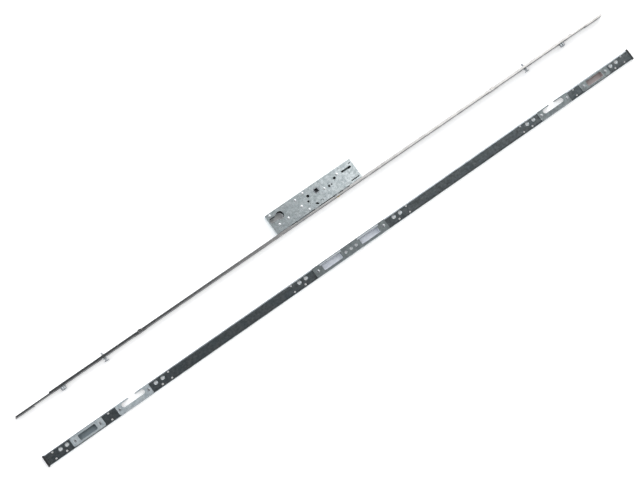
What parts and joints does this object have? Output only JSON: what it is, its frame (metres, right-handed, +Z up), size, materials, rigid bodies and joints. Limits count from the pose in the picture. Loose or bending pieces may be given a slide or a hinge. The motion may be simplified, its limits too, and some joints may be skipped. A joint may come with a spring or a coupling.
{
  "type": "multipoint door lock",
  "caption": "Multipoint door lock with a central gearbox, drive rails, mushroom studs and roller pins, lying beside its matching channel keep strip.",
  "frame": {"origin": "half the length of the faceplate, on its front face and its lower edge, at floor level", "axes": "+X along the lock to its upper end, +Y from the faceplate's front to the back of the gearbox, +Z up, square to the gearbox's cover"},
  "size_m": [1.487, 0.1665, 0.016],
  "materials": {
    "faceplate_zinc": "zinc plated, dull",
    "case_zinc": "zinc plated, satin",
    "rail_zinc": "zinc plated, rolled",
    "stud_steel": "turned",
    "spring_steel": "drawn",
    "follower_casting": "die cast zinc",
    "strip_zinc": "zinc plated, rolled",
    "keep_zinc": "zinc plated, pressed",
    "box_plastic": "moulded",
    "cap_plastic": "moulded",
    "roller_brass": "turned"
  },
  "bodies": {
    "lock_and_strip": {"faceplate": "faceplate_zinc", "end_plate_upper": "faceplate_zinc", "end_plate_lower": "faceplate_zinc", "end_plate_rivets": "stud_steel", "rail_guides": "faceplate_zinc", "case_body": "case_zinc", "case_cover": "case_zinc", "case_rivets": "stud_steel", "fixing_blocks": "stud_steel", "case_screws": "stud_steel", "catch_seat": "stud_steel", "catch_spring": "spring_steel", "deadbolt_spring": "spring_steel", "strip_channel": "strip_zinc", "strip_end_caps": "cap_plastic", "centre_keep": "keep_zinc", "latch_box": "box_plastic", "bolt_box": "box_plastic", "ramp_upper": "keep_zinc", "ramp_lower": "keep_zinc", "roller_keep_upper": "keep_zinc", "roller_keep_lower": "keep_zinc", "slot_keep_upper": "keep_zinc", "slot_keep_lower": "keep_zinc", "slot_box_upper": "box_plastic", "slot_box_lower": "box_plastic", "keep_screws": "stud_steel"},
    "upper_drive": {"upper_slide": "rail_zinc", "upper_rail": "rail_zinc", "pin_stud_upper": "stud_steel"},
    "lower_drive": {"lower_slide": "rail_zinc", "lower_rail": "rail_zinc", "pin_stud_lower": "stud_steel"},
    "follower": {"follower": "follower_casting"},
    "deadbolt": {"deadbolt": "follower_casting"},
    "catch": {"catch_fork": "follower_casting", "catch_axle": "stud_steel", "catch_stem": "stud_steel", "catch_clip": "spring_steel"},
    "catch_roller": {"catch_roller": "roller_brass"},
    "pin_roller_upper": {"pin_roller_upper": "stud_steel"},
    "pin_roller_lower": {"pin_roller_lower": "stud_steel"},
    "mushroom_upper": {"mushroom_stud_upper": "stud_steel", "mushroom_cap_upper": "stud_steel"},
    "mushroom_lower": {"mushroom_stud_lower": "stud_steel", "mushroom_cap_lower": "stud_steel"}
  },
  "joints": [
    {"name": "upper_rail_slide", "type": "slide", "parent": "lock_and_strip", "child": "upper_drive", "axis": [1, 0, 0], "range_m": [0, 0.01571]},
    {"name": "lower_rail_slide", "type": "slide", "parent": "lock_and_strip", "child": "lower_drive", "axis": [-1, 0, 0], "range_m": [0, 0.01571]},
    {"name": "follower_turn", "type": "hinge", "parent": "lock_and_strip", "child": "follower", "pos_m": [0.012, 0.035, 0.008], "axis": [0, 0, -1], "range_deg": [0, 90]},
    {"name": "deadbolt_slide", "type": "slide", "parent": "lock_and_strip", "child": "deadbolt", "axis": [0, -1, 0], "range_m": [0, 0.014], "deforming": ["deadbolt_spring"]},
    {"name": "catch_slide", "type": "slide", "parent": "lock_and_strip", "child": "catch", "axis": [0, -1, 0], "range_m": [-0.006, 0], "stiffness_N_per_m": 800, "springref_m": 0.012, "deforming": ["catch_spring"]},
    {"name": "catch_roller_turn", "type": "hinge", "parent": "catch", "child": "catch_roller", "pos_m": [0.044, 0.0042, 0.0084], "axis": [0, 0, 1], "continuous": true},
    {"name": "pin_roller_upper_turn", "type": "hinge", "parent": "upper_drive", "child": "pin_roller_upper", "pos_m": [0.633, -0.0045, 0.008], "axis": [0, 1, 0], "continuous": true},
    {"name": "mushroom_upper_turn", "type": "hinge", "parent": "upper_drive", "child": "mushroom_upper", "pos_m": [0.534, -0.001, 0.008], "axis": [0, 1, 0], "continuous": true},
    {"name": "pin_roller_lower_turn", "type": "hinge", "parent": "lower_drive", "child": "pin_roller_lower", "pos_m": [-0.633, -0.0045, 0.008], "axis": [0, 1, 0], "continuous": true},
    {"name": "mushroom_lower_turn", "type": "hinge", "parent": "lower_drive", "child": "mushroom_lower", "pos_m": [-0.534, -0.001, 0.008], "axis": [0, 1, 0], "continuous": true}
  ],
  "couplings": [
    {"joint": "follower_turn", "follows": "upper_rail_slide", "rad_per_m": 100},
    {"joint": "lower_rail_slide", "follows": "upper_rail_slide", "ratio": 1}
  ]
}
